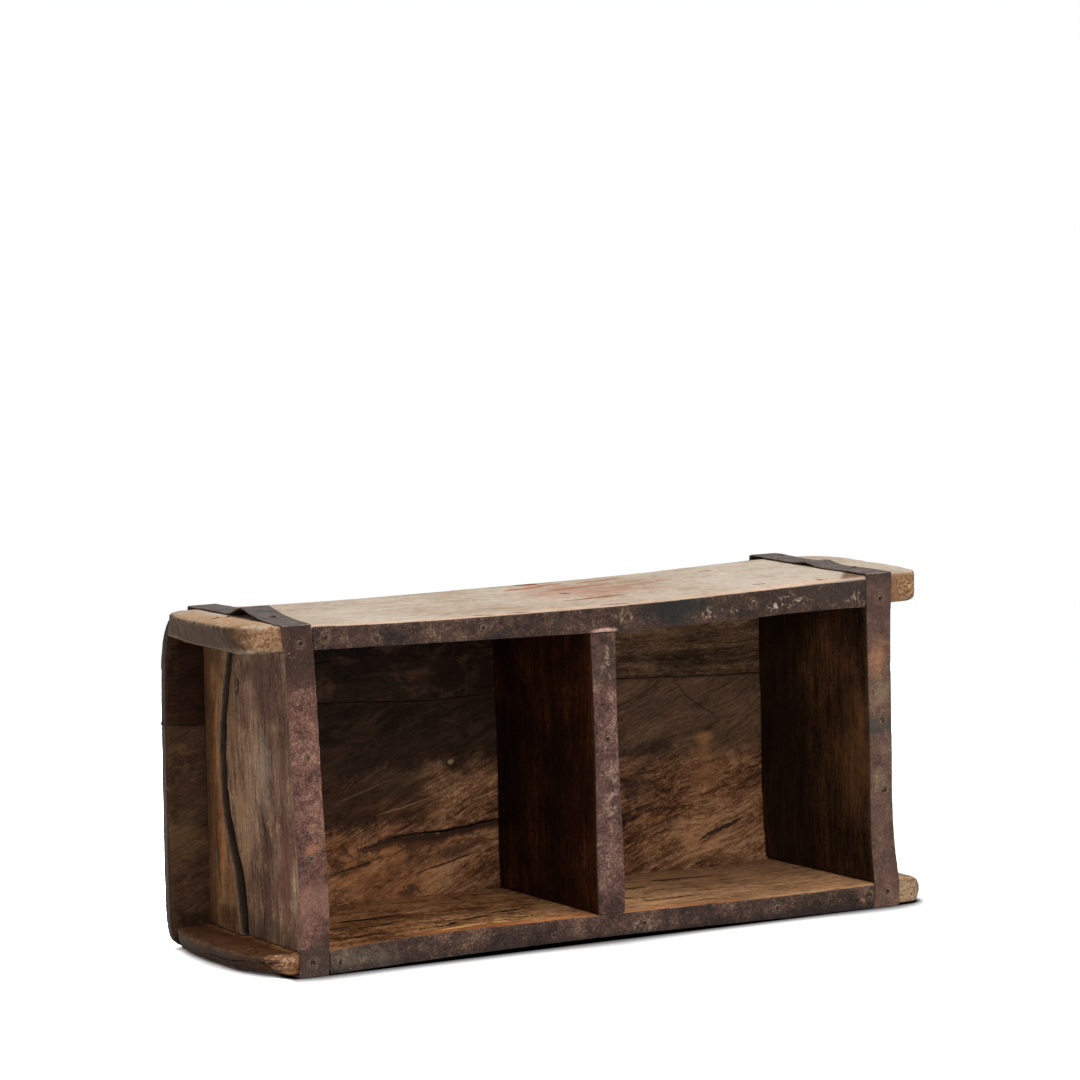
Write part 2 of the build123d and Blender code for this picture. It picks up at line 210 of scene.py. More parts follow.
# How far an even mesh cuts into a joint's corner, the stretch near its end where the joint's level is
# read, and how far from the end that level is given to it
CORNER, LEVEL_FROM, LEVEL_TO, LEVELLED = 0.0030, 0.005, 0.009, 0.007


def square_ends(co, free):
    """Brings the corners at both ends of a tight joint back out, where the even mesh cuts them off."""
    tight, near = free < 0.02, (free > 0.05) & (free < 0.7)
    joint_under = co[near, 2].mean() > co[tight, 2].mean()
    for end, way in ((co[near, 0].min(), 1), (co[near, 0].max(), -1)):
        inward = (co[:, 0] - end) * way
        inner = co[tight & (inward > LEVEL_FROM) & (inward < LEVEL_TO), 2]
        level = inner.min() if joint_under else inner.max()
        co[tight & (inward < LEVELLED) & (np.abs(co[:, 2] - level) < CORNER), 2] = level
        co[tight & (inward < CORNER), 0] = end


def past_end(co):
    """From 0 at the bands to 1 on a long board's ears."""
    x = (co[:, 0] - ORIGIN[0]) / MM
    return np.clip((np.abs(x - LENGTH / 2) - LENGTH / 2 - 2) / 8, 0, 1)


def worn_wood(node, grain, voxel, chip, wave, seed, marks, against, torn):
    """A board with rounded, chipped arrises, soft waves along the grain, cut cracks and torn spots.

    A long board's ears are more rounded and lumpy than the rest. A torn spot is a centre, a radius, a
    depth, which swells where it is negative, and how rough it is."""
    mesh = fresh_copy(node, voxel)
    start = points_of(mesh)
    free = clearance(start, against) if against else np.ones(len(start))
    if against:
        square_ends(start, free)
    co = start + (relax(start, mesh, SOFT) - start) * free[:, None]
    ear = past_end(start) if torn else np.zeros(len(start))
    if torn:
        co += (relax(co, mesh, EAR_SOFT) - co) * ear[:, None]
    edge = np.clip(np.linalg.norm(co - start, axis=1) / (0.55 * voxel), 0, 1)
    mesh.vertices.foreach_set("co", co.ravel())
    no = normals_of(mesh)
    stretch = np.array(GRAIN[grain])
    nick = np.clip(layered(co * 190 * (0.35 + 0.65 * stretch), seed) - 0.10, 0, 1)
    fray = np.clip(layered(co * 520 * stretch, seed + 5), -1, 1)
    swell = layered(co * 60 * stretch, seed + 9, 2)
    lumps = 0.5 + 0.5 * layered(co * 95, seed + 41, 3)
    patchy = np.clip(0.5 + layered(co * 300, seed + 31, 2), 0, 1)
    push = -chip * edge * nick - 0.00018 * edge * fray + wave * swell * free
    push += ear * (no[:, 1] < 0.3) * (0.0013 - 0.0011 * lumps)
    for centre, radius, depth, rough in torn:
        away = np.linalg.norm(co - np.array(ORIGIN) - np.array(centre) * MM, axis=1)
        fall = np.clip(1.6 * (1 - away / (radius * MM)), 0, 1)
        push -= depth * MM * fall * (1 - rough + rough * patchy)
    for mark in marks:
        if mark.depth:
            inside = np.clip(1.2 - nearness(co, mark), 0, 1) * (looks(no, mark.side) > 0.6)
            push -= mark.depth * MM * inside
    place_points(mesh, co + no * push[:, None], node)
    return mesh


# The dished ring round a nail: how far it reaches along and across the nail, how wide and deep it is,
# and the worn ring's middle and half width
SEAT_ALONG, SEAT_ACROSS, SEAT_RADIUS, SEAT_DEPTH = 0.0035, 0.010, 0.0058, 0.00035
RING_RADIUS, RING_HALF = 0.0040, 0.0021


def old_iron(node, seats, seed):
    """Flat iron with softened edges, hammered faces, pits and a shallow dish round each nail."""
    voxel = IRON_VOXEL * COARSE
    mesh = fresh_copy(node, voxel)
    start = points_of(mesh)
    co = relax(start, mesh, SOFT)
    edge = np.clip(np.linalg.norm(co - start, axis=1) / (0.5 * voxel), 0, 1)
    mesh.vertices.foreach_set("co", co.ravel())
    no = normals_of(mesh)
    beat = layered(co * 70, seed, 2)
    pit = np.clip(layered(co * 330, seed + 3) - 0.32, 0, 1)
    nick = np.clip(layered(co * 240, seed + 7), 0, 1)
    push = -DENT * (0.5 + 0.5 * beat) * (1 - edge) - 0.0006 * pit - 0.00025 * edge * nick
    ring = np.zeros(len(co))
    for where, way in seats:
        away = co - where
        along = away @ way
        out = np.linalg.norm(away - along[:, None] * way, axis=1)
        near = (np.abs(along) < SEAT_ALONG) & (out < SEAT_ACROSS)
        push[near] -= SEAT_DEPTH * np.clip(1 - out[near] / SEAT_RADIUS, 0, 1)
        on_ring = np.clip(1 - np.abs(out[near] - RING_RADIUS) / RING_HALF, 0, 1)
        ring[near] = np.maximum(ring[near], on_ring)
    place_points(mesh, co + no * push[:, None], node)
    mark_points(mesh, "ring", ring)
    mark_points(mesh, "arris", edge)
    return mesh


def loose_parts(mesh):
    """Groups of a mesh's points that hang together, seams of the file welded."""
    co = points_of(mesh)
    _, same = np.unique(np.round(co, 6), axis=0, return_inverse=True)
    same = same.ravel()
    label = np.arange(same.max() + 1)
    pairs = np.empty(len(mesh.edges) * 2, dtype=np.int64)
    mesh.edges.foreach_get("vertices", pairs)
    a, b = same[pairs.reshape(-1, 2)].T
    while True:
        low = np.minimum(label[a], label[b])
        new = label.copy()
        np.minimum.at(new, a, low)
        np.minimum.at(new, b, low)
        new = new[new]
        if (new == label).all():
            break
        label = new
    group = label[same]
    return [co[group == g] for g in np.unique(group)]


# How high a nail's head stands, and how thick a slice of each end is measured for it
HEAD_HEIGHT, END_SLICE = 0.0009, 0.0012


def nail_seats(node):
    """Where each nail's head lies, and which way it looks."""
    seats = []
    for part in loose_parts(NODES[node].data):
        low, high = part.min(0), part.max(0)
        axis = int(np.argmax(high - low))
        ends = []
        for side, level in ((-1, low[axis]), (1, high[axis])):
            near = part[np.abs(part[:, axis] - level) < END_SLICE]
            spread = (near.max(0) - near.min(0)).sum()
            ends.append((spread, side, level))
        _, side, level = max(ends)
        where = (low + high) / 2
        where[axis] = level - side * HEAD_HEIGHT
        way = np.zeros(3)
        way[axis] = side
        seats.append((where, way))
    return seats


def mark_points(mesh, name, values):
    layer = mesh.attributes.new(name, "FLOAT", "POINT")
    layer.data.foreach_set("value", np.asarray(values, dtype=np.float32))


def new_piece(name, mesh, material, node):
    thing = new_object(name, mesh)
    mesh.materials.append(material)
    mesh.polygons.foreach_set("use_smooth", [True] * len(mesh.polygons))
    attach(thing, "root")
    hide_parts(node)


# Outline of a forged head: share of the radius, height in millimetres, and how bright the worn rim is
HEAD = [(0.42, -8.0, 0.0), (0.62, -0.4, 0.0), (1.0, -0.3, 0.2), (1.0, 0.18, 0.6),
        (0.90, 0.52, 1.0), (0.74, 0.70, 0.7), (0.56, 0.64, 0.15), (0.30, 0.46, 0.0)]
HEAD_RADIUS, HEAD_SIDES = 0.00305, 18


def nail_heads(node, seats, material, seed):
    """Forged heads, each a little different: a bevelled rim round a beaten, dished middle."""
    rng = np.random.default_rng(seed)
    angles = np.linspace(0, 2 * pi, HEAD_SIDES, endpoint=False)
    verts, faces, ring = [], [], []
    for where, way in seats:
        turn = Vector(way).to_track_quat("Z", "Y").to_matrix()
        phase = rng.uniform(0, 2 * pi)
        tilt = rng.normal(0, 0.05, 2)
        width = HEAD_RADIUS * rng.uniform(0.86, 1.0)
        wobble = [1 + 0.07 * sin(2 * a + phase) + 0.05 * sin(3 * a - 2 * phase)
                  + rng.normal(0, 0.02) for a in angles]
        first = len(verts)
        for share, height, bright in HEAD:
            for k, a in enumerate(angles):
                r = width * share * (wobble[k] if share > 0.5 else 1)
                x, y = r * cos(a), r * sin(a)
                rise = height * MM + (tilt[0] * x + tilt[1] * y if height > 0 else 0)
                verts.append(tuple(Vector(where) + turn @ Vector((x, y, rise))))
                ring.append(bright)
        top = first + (len(HEAD) - 1) * HEAD_SIDES
        for row in range(first, top, HEAD_SIDES):
            for k in range(HEAD_SIDES):
                a, b = row + k, row + (k + 1) % HEAD_SIDES
                faces.append((a, b, b + HEAD_SIDES, a + HEAD_SIDES))
        faces.append(tuple(reversed(range(first, first + HEAD_SIDES))))
        faces.append(tuple(range(top, top + HEAD_SIDES)))
    name = node + "_forged"
    mesh = bpy.data.meshes.new(name)
    mesh.from_pydata(verts, [], faces)
    mesh.update()
    place_points(mesh, points_of(mesh), node)
    mark_points(mesh, "ring", ring)
    new_piece(name, mesh, material, node)


# Node trees

# Where the five tones of a material lie, from the darkest to the palest
TONE_PLACES = (0.0, 0.28, 0.52, 0.76, 1.0)


def rgba(c):
    """Colours are written as 0-255 screen values; a socket passes through."""
    if isinstance(c, bpy.types.NodeSocket):
        return c
    lin = [v / 255.0 for v in c]
    lin = [v / 12.92 if v <= 0.04045 else ((v + 0.055) / 1.055) ** 2.4 for v in lin]
    return (*lin, 1.0)


def put(tree, value, socket):
    """Links a socket, or sets a plain value."""
    if isinstance(value, bpy.types.NodeSocket):
        tree.links.new(value, socket)
    else:
        socket.default_value = value


def new_node(tree, kind):
    return tree.nodes.new("ShaderNode" + kind)


def add_math(tree, kind, *values):
    """The output of a math node that takes the given sockets and numbers."""
    n = new_node(tree, "Math")
    n.operation = kind
    for value, socket in zip(values, n.inputs):
        put(tree, value, socket)
    return n.outputs[0]


class Tree:
    """Short ways to build a material's nodes."""

    def __init__(self, name, seed=0.0):
        self.material = bpy.data.materials.new(name)
        self.material.use_nodes = True
        self.nodes = self.material.node_tree.nodes
        self.links = self.material.node_tree.links
        self.shader = self.nodes["Principled BSDF"]
        self.place = self.new("TexCoord").outputs["Object"]
        self.mm = self.vec("SCALE", self.vec("SUBTRACT", self.place, ORIGIN), 1 / MM)
        self.parts = self.split(self.mm)
        self.seeded = self.mapped(move=(seed, seed * 0.7, seed * 1.3))
        self.fray = self.noise(self.seeded, 40, 6, 0.72)
        self.ragged = self.noise(self.seeded, 350, 2)

    def new(self, kind, **inputs):
        n = new_node(self, kind)
        for name, value in inputs.items():
            put(self, value, n.inputs[name])
        return n

    def math(self, kind, a, b=0.0):
        return add_math(self, kind, a, b)

    def add(self, a, b):
        return self.math("ADD", a, b)

    def sub(self, a, b):
        return self.math("SUBTRACT", a, b)

    def mul(self, a, b):
        return self.math("MULTIPLY", a, b)

    def blend(self, *shares):
        """The sum of values, each times its weight."""
        total = None
        for value, weight in shares:
            part = self.mul(value, weight)
            total = part if total is None else self.add(total, part)
        return total

    def vec(self, kind, a, b):
        n = self.new("VectorMath")
        n.operation = kind
        put(self, a, n.inputs[0])
        put(self, b, n.inputs["Scale" if kind == "SCALE" else 1])
        return n.outputs["Value"] if kind == "LENGTH" else n.outputs["Vector"]

    def split(self, vector):
        return self.new("SeparateXYZ", Vector=vector).outputs

    def join(self, x, y, z):
        return self.new("CombineXYZ", X=x, Y=y, Z=z).outputs[0]

    def mapped(self, scale=(1, 1, 1), move=(0, 0, 0), place=None):
        return self.new("Mapping", Vector=place or self.place, Scale=scale, Location=move).outputs[0]

    def noise(self, place, scale, detail=3.0, rough=0.55, bend=0.0, colour=False):
        n = self.new("TexNoise", Vector=place, Scale=scale, Detail=detail, Roughness=rough, Distortion=bend)
        return n.outputs["Color" if colour else "Fac"]

    def drift(self, place, scale, amount):
        """A place moved about by slow noise."""
        shift = self.vec("SUBTRACT", self.noise(place, scale, 2, colour=True), (0.5, 0.5, 0.5))
        return self.vec("ADD", place, self.vec("SCALE", shift, amount))

    def cells(self, place, scale, feature="F1"):
        n = self.new("TexVoronoi", Vector=place, Scale=scale)
        n.feature = feature
        return n.outputs["Distance"]

    def span(self, value, low, high, to_low=0.0, to_high=1.0, smooth=True):
        n = self.new("MapRange")
        n.interpolation_type = "SMOOTHSTEP" if smooth else "LINEAR"
        for v, s in zip((value, low, high, to_low, to_high), n.inputs):
            put(self, v, s)
        return n.outputs[0]

    def mix(self, share, a, b, kind="MIX"):
        n = self.new("Mix")
        n.data_type = "RGBA"
        n.blend_type = kind
        put(self, share, n.inputs[0])
        put(self, rgba(a), n.inputs[6])
        put(self, rgba(b), n.inputs[7])
        return n.outputs[2]

    def times(self, a, b):
        """Two colours multiplied."""
        return self.mix(1.0, a, b, "MULTIPLY")

    def ramp(self, value, stops):
        n = self.new("ValToRGB", Fac=value)
        bar = n.color_ramp
        while len(bar.elements) < len(stops):
            bar.elements.new(0.5)
        for element, (where, colour) in zip(bar.elements, stops):
            element.position = where
            element.color = rgba(colour)
        return n.outputs["Color"]

    def toned(self, tone, contrast, tones, patches, dark, bright):
        """Spreads a tone over the colours, and lays the patches on, darker and brighter with the tone."""
        tone = self.span(tone, 0.5 - 0.10 / contrast, 0.5 + 0.10 / contrast, smooth=False)
        colour = self.ramp(tone, list(zip(TONE_PLACES, tones)))
        swing = self.span(tone, 0.0, 1.0, dark, bright, smooth=False)
        for mask, tint, strength in patches:
            colour = self.mix(self.mul(mask(self), strength), colour, self.times(tint, swing))
        return tone, colour

    def facing(self, side, low=0.35, high=0.75):
        """1 where the face looks to a side given as x, -x, y, -y, z or -z."""
        part = self.split(self.new("NewGeometry").outputs["Normal"])["xyz".index(side[-1])]
        if side[0] == "-":
            part = self.mul(part, -1.0)
        return self.span(part, low, high)

    def between(self, value, low, high, soft):
        """1 between two levels, with soft borders."""
        return self.mul(self.span(value, low - soft, low + soft),
                        self.span(value, high - soft, high + soft, 1.0, 0.0))

    def attribute(self, name):
        n = self.new("Attribute")
        n.attribute_name = name
        return n.outputs["Fac"]

    def worn(self, low, high):
        """1 on sharp arrises."""
        return self.span(self.new("NewGeometry").outputs["Pointiness"], low, high)

    def on_mark(self, mark):
        """1 on a drawn line, thin at its ends, with a ragged border."""
        u, v = [self.sub(self.parts[k], mark.a[i]) for i, k in enumerate(ACROSS[mark.side[-1]])]
        du, dv = mark.b[0] - mark.a[0], mark.b[1] - mark.a[1]
        size = hypot(du, dv)
        share = self.blend((u, du / size ** 2), (v, dv / size ** 2))
        off = self.blend((v, du / size), (u, -dv / size))
        off = self.sub(off, self.mul(self.math("SINE", self.mul(share, SWAYS)), mark.sway))
        off = self.add(off, self.mul(self.sub(self.ragged, 0.5), min(0.9 * mark.width, 3.0)))
        off = self.add(off, self.mul(self.sub(self.fray, 0.5), 1.5 * mark.width))
        half = self.math("MAXIMUM", self.mul(share, self.sub(1.0, share)), 0.0)
        half = self.mul(self.math("POWER", half, 0.5), mark.width)
        near = self.math("DIVIDE", self.math("ABSOLUTE", off), self.math("MAXIMUM", half, 0.001))
        return self.mul(self.span(near, 0.45, 1.0, 1.0, 0.0), self.facing(mark.side, 0.2, 0.5))

    def bump(self, height, strength, distance):
        return self.new("Bump", Height=height, Strength=strength, Distance=distance).outputs["Normal"]

    def finish(self, colour, roughness, normal, specular):
        for name, value in (("Base Color", colour), ("Roughness", roughness), ("Normal", normal),
                            ("Specular IOR Level", specular)):
            put(self, value, self.shader.inputs[name])
        return self.material


# Masks for patches of colour, in the crate's millimetres

def spot(centre, size, soft=0.8, rag=1.2):
    """1 inside an ellipsoid with a ragged border."""
    def mask(t):
        inverse = tuple(1.0 / s for s in size)
        moved = t.mapped(scale=inverse, move=tuple(-c * i for c, i in zip(centre, inverse)), place=t.mm)
        away = t.add(t.vec("LENGTH", moved, (0, 0, 0)), t.mul(t.sub(t.fray, 0.5), 2 * rag))
        return t.span(away, 1 - soft, 1.0, 1.0, 0.0)
    return mask


def disc(x, z, wide, high, soft=0.8):
    """1 inside an ellipse near the open front."""
    return spot((x, 0, z), (wide, 40, high), soft)


def slab(axis, low, high, soft=3.0, rag=0.0):
    """1 between two levels."""
    def mask(t):
        level = t.parts["xyz".index(axis)]
        if rag:
            level = t.add(level, t.mul(t.sub(t.fray, 0.5), rag))
        return t.between(level, low, high, soft)
    return mask


def looking(side):
    """1 on faces that look to a side."""
    return lambda t: t.facing(side)


UP, DOWN, FRONT, BACK, LEFT, RIGHT = (looking(side) for side in ("z", "-z", "-y", "y", "-x", "x"))


def leaning(low, high):
    """1 on slants and arrises whose normal rises between two levels."""
    def mask(t):
        rise = t.split(t.new("NewGeometry").outputs["Normal"])[2]
        return t.between(rise, low, high, 0.06)
    return mask


def both(*masks):
    """1 where every one of the masks is 1."""
    def mask(t):
        share = masks[0](t)
        for other in masks[1:]:
            share = t.mul(share, other(t))
        return share
    return mask


def past_bands(side):
    """1 on a long board's ears, on faces that look to a side."""
    def mask(t):
        share = t.add(t.span(t.parts[0], 2, 8, 1.0, 0.0), t.span(t.parts[0], LENGTH - 11, LENGTH - 8))
        return t.mul(share, t.facing(side))
    return mask


def broken(scale, detail, rough, bend, low, high, soft, rag, stretch=(1, 1, 1)):
    """A kind of mask: where one noise is high, inside an ellipsoid."""
    def kind(centre, size, seed):
        def mask(t):
            torn = t.noise(t.mapped(stretch, (seed, seed, seed)), scale, detail, rough, bend)
            return t.mul(spot(centre, size, soft, rag)(t), t.span(torn, low, high))
        return mask
    return kind


# Small scales of pale crust, short dashes along the length, and fine crumbled end grain
flakes = broken(150, 5, 0.75, 0.6, 0.53, 0.58, 0.9, 0.6)
splinters = broken(280, 4, 0.7, 0.4, 0.555, 0.60, 0.9, 0.6, (0.14, 0.30, 1))
crumbs = broken(430, 3, 0.65, 0.8, 0.49, 0.56, 0.6, 0.5)


def corner(reach):
    """1 on the top board's front right corner, past a slanting line."""
    def mask(t):
        past = t.span(t.blend((t.parts[0], 1.25), (t.parts[1], -1.0)), reach, reach + 8)
        return t.mul(t.mul(past, t.span(t.parts[0], 558, 562, 1.0, 0.0)), t.facing("z"))
    return mask


def blotches(scale, seed, low=0.50, high=0.62):
    """Ragged patches spread over the whole board."""
    def mask(t):
        torn = t.noise(t.mapped((0.6, 1, 1), (seed, seed, seed)), scale, 5, 0.7, 0.5)
        return t.span(torn, low, high)
    return mask


# Materials

def stretched(grain, share, broad=1.0):
    """Scale of a noise drawn out along the grain; broad also widens it across the crate's depth."""
    return {"x": (share, broad, 1), "z": (1, 1, share)}[grain]


def drying_cracks(t, grain, seed):
    """Thin cracks along the grain, here and there."""
    place = t.drift(t.mapped(move=(seed, seed, seed)), 30, 0.006)
    line = t.cells(t.mapped(scale=stretched(grain, 0.07), place=place), 24, "DISTANCE_TO_EDGE")
    here = t.span(t.noise(t.mapped(move=(seed, 0, 0)), 14, 2), 0.60, 0.68)
    return t.mul(t.span(line, 0.0, 0.035, 1.0, 0.0), here)


Flow = namedtuple("Flow", "slope extra until")


def wood(name, grain, tones, rim, seed, broad=1.0, flow=None, bend=0.014, contrast=1.0, fleck=0.5,
         cracked=0.5, gloss=0.64, worn=0.85, patches=(), marks=()):
    """Old wood. Tones run from the darkest to the palest; patches are (mask, colour, strength).

    With a flow, the grain climbs along the length: by slope, and by extra more until a place."""
    t = Tree(name, seed)
    place = t.drift(t.mapped(move=(seed, seed, seed)), 9, bend)
    if flow:
        x = t.parts[0]
        rise = t.blend((x, flow.slope * MM), (t.math("MINIMUM", x, flow.until), flow.extra * MM))
        place = t.vec("SUBTRACT", place, t.join(0.0, 0.0, rise))

    def figure(share, *noise):
        return t.noise(t.mapped(stretched(grain, share, broad), place=place), *noise)

    clouds = t.noise(t.mapped(scale=(0.6, broad, 1), place=place), 14, 5, 0.62)
    bands = figure(0.10, 60, 5, 0.62, 0.3)
    streaks = figure(0.06, 290, 4, 0.72)
    fine = figure(0.20, 700, 3, 0.78)
    grit = t.noise(t.mapped(scale=(1, broad, 1), place=place), 560, 4, 0.8)
    dashes = figure(0.09, 560, 3, 0.65)
    tone = t.blend((clouds, 0.26), (bands, 0.17), (streaks, 0.19), (fine, 0.20), (grit, 0.18))
    _, colour = t.toned(tone, contrast, tones, patches, 0.58, 1.36)
    darker = t.times(colour, (118, 104, 96))
    colour = t.mix(t.mul(t.span(dashes, 0.56, 0.66), fleck), colour, darker)
    lighter = t.times(colour, t.join(1.45, 1.40, 1.32))
    colour = t.mix(t.mul(t.span(dashes, 0.43, 0.34), 0.6 * fleck), colour, lighter)
    split = t.mul(drying_cracks(t, grain, seed + 3), cracked)
    dust = t.span(t.noise(t.place, 130, 5, 0.72), 0.54, 0.72)
    colour = t.mix(t.mul(dust, 0.10), colour, rim)
    colour = t.mix(t.mul(t.worn(0.505, 0.56), t.span(t.fray, 0.35, 0.60, 0.3 * worn, worn)), colour, rim)
    # Painted shade inside the drying cracks
    colour = t.mix(split, colour, CRACK_SHADE)
    for mark in marks:
        drawn = t.on_mark(mark)
        colour = t.mix(drawn, colour, mark.colour)
        if mark.colour == CRACK_SHADE:
            split = t.math("MAXIMUM", split, drawn)
    rough = t.span(t.blend((streaks, 0.5), (dust, 0.5)), 0.2, 0.9, gloss, gloss + 0.25)
    height = t.blend((bands, 0.3), (streaks, 0.45), (fine, 0.35), (grit, 0.15), (dashes, -0.25),
                     (split, -1.4))
    return t.finish(colour, rough, t.bump(height, 0.9, 0.0010), 0.05)


def rust(name, tones, seed, contrast=1.0, crust=0.5, halo=0.25, patches=()):
    """Rusted flat iron: mottled scale and bloom, fine grain, pale crust, pits and bright worn edges."""
    t = Tree(name, seed)
    place = t.drift(t.seeded, 30, 0.010)
    clouds = t.noise(place, 22, 5, 0.66, 0.3)
    mottle = t.noise(place, 95, 5, 0.72, 0.4)
    grain = t.noise(place, 520, 3, 0.8)
    grit = t.noise(place, 950, 2, 0.8)
    tone = t.blend((clouds, 0.28), (mottle, 0.24), (grain, 0.27), (grit, 0.21))
    tone, colour = t.toned(tone, contrast, tones, patches, 0.60, 1.38)
    torn = t.noise(t.mapped(move=(seed, 2, seed)), 210, 5, 0.8, 0.5)
    here = t.span(t.noise(t.seeded, 26, 4, 0.65), 0.50, 0.62, 0.08, 1.0)
    colour = t.mix(t.mul(t.mul(t.span(torn, 0.59, 0.66), here), crust), colour, (148, 124, 104))
    speck = t.mul(t.span(t.noise(place, 560, 2, 0.7), 0.65, 0.71), here)
    colour = t.mix(t.mul(speck, 0.6), colour, (188, 164, 148))
    pitted = t.span(t.noise(place, 38, 3), 0.45, 0.62)
    pits = t.mul(t.span(t.cells(place, 520), 0.10, 0.30, 1.0, 0.0), pitted)
    colour = t.mix(t.mul(pits, 0.7), colour, tuple(v * 0.5 for v in tones[0]))
    ring = t.attribute("ring")
    patchy = t.mul(ring, t.span(t.noise(place, 260, 3, 0.7), 0.34, 0.60))
    colour = t.mix(t.mul(patchy, halo), colour, (150, 122, 102))
    bright = t.mul(t.span(t.attribute("arris"), 0.22, 0.60), t.span(t.fray, 0.42, 0.62, 0.08, 0.70))
    colour = t.mix(bright, colour, (150, 134, 124))
    rough = t.span(tone, 0.0, 1.0, 0.56, 0.86)
    height = t.blend((mottle, 0.40), (grain, 0.45), (grit, 0.20), (pits, -0.8))
    return t.finish(colour, rough, t.bump(height, 0.9, 0.0007), 0.13)


# Dark brown painted shade of raised splinters and their grooves
SPLINTER_SHADE = (34, 19, 11)

TOP_MARKS = on("z",
    scratch((276, 46), (342, 54), 7, (122, 72, 52)),
    scratch((268, 124), (332, 140), 12, (158, 106, 84)),
    scratch((292, 150), (314, 147), 12, (118, 58, 42)),
    scratch((296, 104), (358, 114), 10, (148, 102, 80)),
    scratch((340, 132), (392, 138), 10, (150, 108, 88)),
    scratch((352, 96), (420, 104), 8, (156, 116, 96)),
    scratch((298, 88), (307, 84), 8, (96, 70, 54)),
    scratch((136, 118), (190, 122), 5, (172, 148, 128)),
    scratch((120, 60), (214, 66), 3, (178, 152, 126)),
    scratch((456, 126), (470, 123), 6, (124, 96, 78)),
    scratch((446, 30), (458, 28), 5, (104, 78, 62)),
    crack((498, 15), (503, 12), 6, 0.6),
    scratch((170, 8), (188, 5), 5, (112, 84, 66)),
    scratch((200, 8), (222, 6), 5, (116, 88, 70)),
    scratch((288, 9), (314, 7), 6, (104, 78, 62)),
    crack((-12, 84), (6, 92), 4, 1.4),
    scratch((-24, 72), (-8, 84), 5, (92, 62, 40))
) + on("-x",
    crack((118, 276), (116, 250), 1.2, 0.4)
)
TOP_PATCHES = [
    (spot((320, 84, 268), (80, 58, 20)), (168, 128, 107), 0.7),
    (both(slab("y", -5, 12, 4, 22), UP, slab("x", 20, 540)), (194, 160, 136), 0.75),
    # Painted shade where the top curves down at the front right corner, over the darker wood of its edge
    (corner(636), (96, 62, 45), 0.85),
    (both(slab("x", 562, 640, 1), slab("z", 200, 268, 2)), (128, 95, 68), 0.95),
    (past_bands("-y"), (121, 89, 63), 0.95),
    (past_bands("-x"), (64, 45, 31), 0.97),
    (both(spot((-34, 110, 262), (30, 50, 20)), LEFT), (80, 63, 47), 0.8),
    (past_bands("x"), (112, 90, 70), 0.9),
    (both(spot((-20, 60, 270), (34, 90, 16), 0.5), UP), (176, 140, 104), 0.8),
    (spot((-14, 2, 262), (26, 24, 14), 0.5), (131, 96, 72), 0.9),
    (crumbs((-12, 2, 263), (26, 24, 15), 3), (92, 58, 36), 0.75),
    (crumbs((-12, 2, 263), (26, 24, 15), 8), (190, 150, 108), 0.45),
    (crumbs((598, 2, 262), (40, 24, 20), 12), (92, 62, 38), 0.8),
    (crumbs((598, 2, 262), (40, 24, 20), 14), (190, 152, 108), 0.75),
    # Painted highlight along the worn lower arris of the left ear
    (both(slab("x", -60, 3), leaning(-0.9, -0.76)), (206, 186, 160), 0.8),
    (both(crumbs((-30, 60, 270), (30, 90, 10), 5), UP), (128, 92, 62), 0.5),
    (DOWN, (66, 46, 32), 0.9),
]
TOP = wood(
    "top_board_wood", "x",
    [(131, 105, 84), (160, 138, 118), (177, 162, 145), (188, 174, 159), (201, 191, 177)],
    (190, 166, 140), 1.7, broad=0.3, contrast=0.8, fleck=0.3, cracked=0.15, gloss=0.7, worn=0.6,
    patches=TOP_PATCHES, marks=TOP_MARKS)

